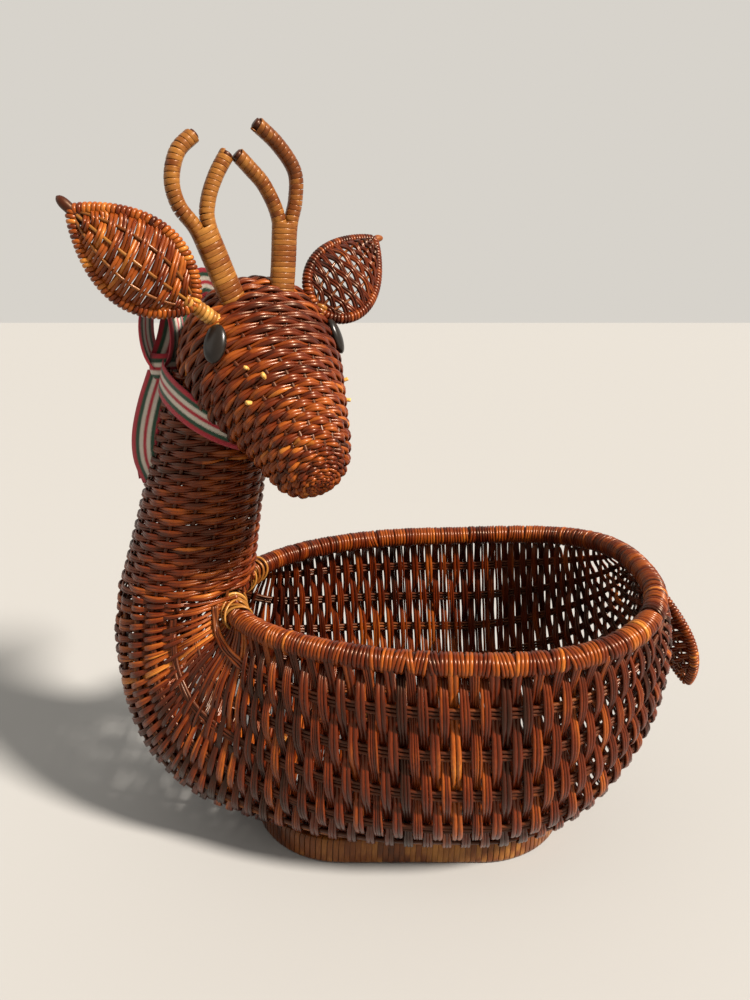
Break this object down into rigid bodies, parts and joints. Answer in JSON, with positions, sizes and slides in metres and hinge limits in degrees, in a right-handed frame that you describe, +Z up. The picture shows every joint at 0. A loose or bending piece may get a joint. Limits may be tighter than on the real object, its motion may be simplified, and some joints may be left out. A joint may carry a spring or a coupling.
{
  "type": "woven wicker deer basket",
  "caption": "Oval rib-woven wicker basket shaped as a standing deer, with a tall neck, turned head, wrapped antlers, leaf ears and tail, a ribbon bow and a wrapped foot ring.",
  "frame": {"origin": "middle of the whole object's base, on the surface that it stands on", "axes": "+X towards the tail along the body, -Y the way the turned head looks, +Z up"},
  "size_m": [0.3472, 0.1923, 0.3909],
  "materials": {
    "reed": "red-brown stained reed weave under gloss varnish",
    "rod": "stained round rods, varnished",
    "cane_light": "golden flat cane wrapping, varnished",
    "bead": "glossy black bead",
    "ribbon": "woven tape striped red, green and white"
  },
  "bodies": {
    "root": {"antler_left_beam_wrap": "cane_light", "antler_left_inner_rod": "rod", "antler_left_inner_wrap": "cane_light", "antler_left_outer_rod": "rod", "antler_left_outer_wrap": "cane_light", "antler_right_beam_wrap": "cane_light", "antler_right_inner_rod": "rod", "antler_right_inner_wrap": "cane_light", "antler_right_outer_rod": "rod", "antler_right_outer_wrap": "cane_light", "body_weave": "reed", "ear_left_frame": "reed", "ear_left_midrib": "rod", "ear_left_stem": "rod", "ear_left_weave": "reed", "ear_right_frame": "reed", "ear_right_midrib": "rod", "ear_right_stem": "rod", "ear_right_weave": "reed", "eye_left": "bead", "eye_right": "bead", "far_rib_1": "rod", "far_rib_2": "rod", "far_rib_3": "rod", "far_rib_4": "rod", "far_rib_5": "rod", "far_rib_6": "rod", "far_rib_7": "rod", "foot_hoop": "rod", "foot_ties": "cane_light", "foot_wrapping": "cane_light", "head_ribs": "rod", "head_weave": "reed", "keel_rib": "rod", "near_rib_1": "rod", "near_rib_2": "rod", "near_rib_3": "rod", "near_rib_4": "rod", "near_rib_5": "rod", "near_rib_6": "rod", "near_rib_7": "rod", "neck_stakes": "rod", "neck_weave": "reed", "ribbon_collar": "ribbon", "ribbon_knot": "ribbon", "ribbon_loop_back": "ribbon", "ribbon_loop_front": "ribbon", "ribbon_tail_left": "ribbon", "ribbon_tail_right": "ribbon", "rim_hoop": "rod", "rim_lashing_far": "reed", "rim_lashing_near": "reed", "rim_wrapping": "reed", "tail_frame": "reed", "tail_midrib": "rod", "tail_weave": "reed"}
  },
  "joints": []
}
